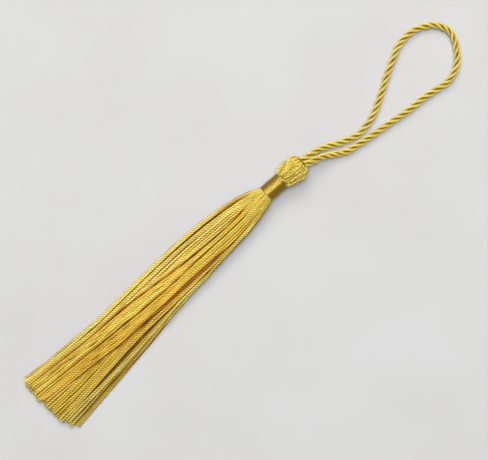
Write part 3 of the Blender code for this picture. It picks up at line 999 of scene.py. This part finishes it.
def skirt_yarns():
    """Centre lines of the skirt's yarns, spread from the neck and settled on each other."""
    evenly = np.arange(STATIONS[-1], LAST_STATION - STATION_STEP / 2.0, -STATION_STEP)[1:]
    places = np.concatenate((STATIONS, evenly))
    top_count = sum(LOCK_YARNS)
    count = top_count + UNDER_YARNS
    is_top = np.arange(count) < top_count
    left, right = column(LOCK_EDGES, 1, places), column(LOCK_EDGES, 7, places)
    under, top, flat = (column(SECTIONS, index, places) for index in (1, 2, 3))
    diameter = NECK_DIAMETER + (YARN_DIAMETER - NECK_DIAMETER) * ramp(places, *THICKEN_RUN)
    middle, half = (left + right) / 2.0, (right - left) / 2.0
    centre, height = (under + top) / 2.0, (top - under) / 2.0 - diameter / 2.0
    open_share = ramp(places, *OPEN_RUN) ** 0.5

    # Each yarn keeps its side of the neck, and the upper ones there are the upper ones below.
    spots = neck_spots(count)
    order = np.argsort(-spots[:, 1])
    tops, unders = order[:top_count], order[top_count:]
    tops = tops[np.argsort(spots[tops, 0])]
    unders = unders[np.argsort(spots[unders, 0])]
    spots = spots[np.concatenate((tops, unders))]
    targets, covers = top_targets(places)
    last_left = column(LOCK_EDGES, 6, places)
    under_right = (1.0 - UNDER_RIGHT) * last_left + UNDER_RIGHT * right
    rank = (np.arange(UNDER_YARNS) + 0.5)[:, None] / UNDER_YARNS
    under_width = under_right - left - 2.0 * UNDER_INSET
    goal = np.concatenate((targets, left + UNDER_INSET + under_width * rank))

    across = (goal - middle) / half
    half = half - diameter / 2.0
    across = spots[:, :1] * (1.0 - open_share) + across * open_share
    layer = np.empty(count)
    layer[:top_count] = TOP_LAYER + draws.normal(0.0, TOP_LAYER_SPREAD, top_count)
    layer[top_count:] = UNDER_LAYER + UNDER_LAYER_RISE * (spots[top_count:, 1] + 1.0)
    dome = np.sqrt(np.clip(1.0 - across**2, 0.0, 1.0))
    dome = dome * (1.0 - flat) + flat
    lift = spots[:, 1:] * (1.0 - open_share) + layer[:, None] * dome * open_share
    x = middle + half * across
    z = centre + height * lift
    z[:top_count] -= COVER_DEPTH * covers
    neck_x = half * spots[:, :1] * (1.0 - open_share)
    goal = middle + neck_x + (goal - middle) * open_share
    goal = goal + wander((count, len(places)), *STRAY_DRIFT) * ramp(places, *STRAY_RUN)
    section = left, right, under, top, flat, diameter, middle, half, centre, height
    x, z = settle(places, x, z, goal, covers, section)
    shade = skirt_shade(places, x, z, diameter, covers)
    covered = np.concatenate((covers, np.zeros((UNDER_YARNS, len(places)))))
    return places, x, z, diameter, is_top, shade, covered


def skirt_tints(keys, covered):
    """Each skirt yarn's colour, with painted warm shade on some under yarns, and how much painted
    warm shade it takes on at each place.
    """
    tops = [gold_tints(yarns, shares) for yarns, shares in zip(LOCK_YARNS, LOCK_SHARES)]
    tints = np.concatenate(tops + [gold_tints(UNDER_YARNS, UNDER_SHARES)])
    # The last lock is painted darker, as shade on the skirt's right side.
    tints[:-UNDER_YARNS] *= np.repeat(LOCK_TONES_AND_SHADE, LOCK_YARNS)[:, None]
    rank = (np.arange(UNDER_YARNS) + 0.5) / UNDER_YARNS
    # Painted warm shade on the under yarns that lie in the valley.
    warm_shade = WARM_SHADE_PEAK * (1.0 - np.abs(rank - WARM_SHADE_MIDDLE) / WARM_SHADE_REACH)
    tints[-UNDER_YARNS:] *= np.array(WARM_SHADE_CAST) ** np.clip(warm_shade, 0.0, 1.0)[:, None]
    lower = np.repeat(LOCK_WARM_SHADE, LOCK_YARNS)
    lower = lower * shade_draws.uniform(0.0, WARM_SHADE_MOST, sum(LOCK_YARNS))
    lower = lower[:, None] * column(WARM_SHADE_RUN, 1, keys)
    covered[:-UNDER_YARNS] = np.maximum(covered[:-UNDER_YARNS], lower)
    return tints, covered


def add_skirt():
    """The skirt's upper and under yarns, in a few pieces, and the filaments at their cut ends."""
    places, x, z, diameter, is_top, shade, covered = skirt_yarns()
    count = len(x)
    keys = -places
    ends = -column(TIP_ENDS, 1, x[:, -1])
    ends = ends + draws.normal(0.0, TIP_JITTER, count) + np.where(is_top, 0.0, -UNDER_SHORTER)
    ends = np.minimum(ends, LONGEST_END)
    tints, covered = skirt_tints(keys, covered)
    ups = np.array((0.0, 0.0, 1.0))
    tips = []
    for kind, (sides, rings_a_lay), chosen in (
        ("skirt_top_yarns", TOP_FINENESS, is_top),
        ("skirt_under_yarns", UNDER_FINENESS, ~is_top),
    ):
        chosen = np.flatnonzero(chosen)
        rings = round((LONGEST_END - keys[0]) * rings_a_lay * MM / YARN_LAY) + 1
        parts = math.ceil(len(chosen) / YARNS_A_PIECE)
        for part, members in enumerate(np.array_split(chosen, parts)):
            shape = (len(members), rings)
            centres, colours = np.empty((2,) + shape + (3,))
            radii, deep = np.empty((2,) + shape)
            for row, yarn in enumerate(members):
                spots = np.linspace(keys[0], ends[yarn], rings)
                values = np.stack((x[yarn], z[yarn], diameter, shade[yarn]), axis=1)
                line = curve_through(keys, values, spots)
                centres[row] = np.stack((line[:, 0], -spots, line[:, 1]), axis=1) * MM
                radii[row] = line[:, 2] / 2.0 * YARN_FULLNESS * MM
                # Painted light: yarns are paler near the binding.
                pale = NECK_PAINTED_LIGHT * ramp(spots, *NECK_PAINTED_LIGHT_RUN)[:, None]
                tint = tints[yarn] * (1.0 - pale) + np.array(NECK_GOLD) * pale
                opened = np.clip(1.0 - (ends[yarn] - spots) / END_LIGHT_REACH, 0.0, 1.0)
                deep[row] = (1.0 - line[:, 3]) * (1.0 - END_LIGHT * opened)
                tint = tint * column(SKIRT_TONE, 1, spots)[:, None]
                # Painted warm shade where a yarn runs under a lock, and lower down in some locks.
                warm_shade = np.interp(spots, keys, covered[yarn])[:, None]
                tint = tint * np.array(WARM_SHADE_CAST) ** warm_shade
                colours[row] = tint * (1.0 - deep[row, :, None]) ** SHADE_WARMTH
            down = -centres[..., 1] / MM
            drift = wander(down.shape, rings // SIDE_PARTS, SIDE_DRIFT)
            side_share = column(SIDE_STRENGTH, 1, down)
            side_share = side_share * np.clip(SIDE_MEAN + drift, 0.0, SIDE_MOST)
            relief = YARN_GROOVE * column(GROOVE_RUN, 1, down)[..., None]
            make = (sides, YARN_PLIES, YARN_LAY, relief)
            label = f"{kind}_{part + 1}"
            add_yarns(label, make, centres, ups, ups, radii, colours, deep, side_share)
            along = unit(centres[:, -1] - centres[:, -9])
            tips.append((centres[:, -1] / MM, along, radii[:, -1] / MM, colours[:, -1]))
    add_end_filaments(*[np.concatenate(rows) for rows in zip(*tips)])


def add_end_filaments(ends, along, radii, tints):
    """Short filaments that stand a little apart round the cut end of each yarn."""
    shape = (len(ends), END_FILAMENTS)
    side = unit(np.cross((0.0, 0.0, 1.0), along))
    up = np.cross(along, side)
    angle = draws.uniform(0.0, TURN, shape)
    inner = radii[:, None] * np.sqrt(draws.uniform(0.1, 0.8, shape))
    reach = draws.uniform(*FILAMENT_REACH, shape)
    spread = FILAMENT_SPREAD * draws.uniform(-0.2, 1.0, shape)
    share = np.linspace(0.0, 1.0, FILAMENT_RINGS)
    run = -FILAMENT_START + share * (FILAMENT_START + reach[..., None])
    out = inner[..., None] + spread[..., None] * share**2
    radial = np.cos(angle)[..., None] * side[:, None] + np.sin(angle)[..., None] * up[:, None]
    centres = ends[:, None, None] + run[..., None] * along[:, None, None]
    centres = centres + out[..., None] * radial[:, :, None]
    centres[..., 2] = np.maximum(centres[..., 2], FILAMENT_RADIUS * 1.5)
    centres = centres.reshape(-1, FILAMENT_RINGS, 3) * MM
    taper = np.broadcast_to(1.0 - 0.4 * share, centres.shape[:2])
    thickness = FILAMENT_RADIUS * MM * taper
    outline = star(FILAMENT_SIDES, 1, 0.0)
    still = np.zeros(centres.shape[:2])
    rings = sweep(centres, np.array((0.0, 0.0, 1.0)), thickness, still, outline)
    tints = tints * (1.0 - FILAMENT_PALE) + np.array(GOLDS[2]) * FILAMENT_PALE
    pale = np.repeat(tints, END_FILAMENTS, axis=0)[:, None, None, :]
    valley = np.zeros(FILAMENT_SIDES)
    piece = strand_piece("yarn_end_filaments", rings, valley, still, pale, 1, yarn_silk)
    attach(piece, "root")
    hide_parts("yarn_tassel")


def add_floor():
    """The plain pale floor."""
    data = bpy.data.meshes.new("pale_floor")
    signs = ((-1.0, -1.0), (1.0, -1.0), (1.0, 1.0), (-1.0, 1.0))
    corners = [(FLOOR_REACH * x, FLOOR_REACH * y, 0.0) for x, y in signs]
    data.from_pydata(corners, [], [(0, 1, 2, 3)])
    floor = placed("pale_floor", data)
    material = bpy.data.materials.new("pale_floor")
    material.use_nodes = True
    tree = material.node_tree
    where = new_node(tree, "ShaderNodeTexCoord", {}).outputs["Object"]
    grain = ranged(tree, streaks(tree, where, (30.0, 30.0, 30.0), 4.0), 0.0, 1.0)
    tone = mixed(tree, grain, FLOOR_DARK, FLOOR_PALE)
    values = {"Base Color": tone, "Roughness": 0.75, "Specular IOR Level": 0.2}
    fill(tree, tree.nodes["Principled BSDF"], values)
    data.materials.append(material)


def add_light(name, direction, distance, size, power, colour):
    """A round lamp that faces the middle of the view."""
    data = bpy.data.lights.new(name, "AREA")
    data.shape = "DISK"
    data.size = size
    data.energy = power
    data.color = colour
    light = placed(name, data)
    toward = Vector(direction).normalized()
    light.location = Vector(VIEW_CENTRE) + toward * distance
    light.rotation_mode = "QUATERNION"
    light.rotation_quaternion = toward.to_track_quat("Z", "Y")


def add_lights():
    """The lamps, and the soft light of the room."""
    for row in LIGHTS:
        add_light(*row)
    world = bpy.data.worlds.new("soft_room")
    world.use_nodes = True
    values = {"Color": (1.0, 0.98, 0.95, 1.0), "Strength": 0.09}
    fill(world.node_tree, world.node_tree.nodes["Background"], values)
    bpy.context.scene.world = world
    bpy.context.scene.view_settings.view_transform = "Standard"


yarn_silk = silk("silk_yarn", (5.0, 5.0, 0.8), 0.000006, 0.80)
cord_silk = silk("twisted_cord", (10.0, 10.0, 0.8), 0.000008, 0.55)
thread_silk = silk(
    "binding_thread", (4.0, 4.0, 1.0), 0.000003, 0.6,
    rough=0.30, dull=0.20, gloss=3.5, tint=THREAD_GLOSS, metal=0.25,
)

add_camera()
add_cord()
add_skirt()
add_head()
add_binding()
add_floor()
add_lights()
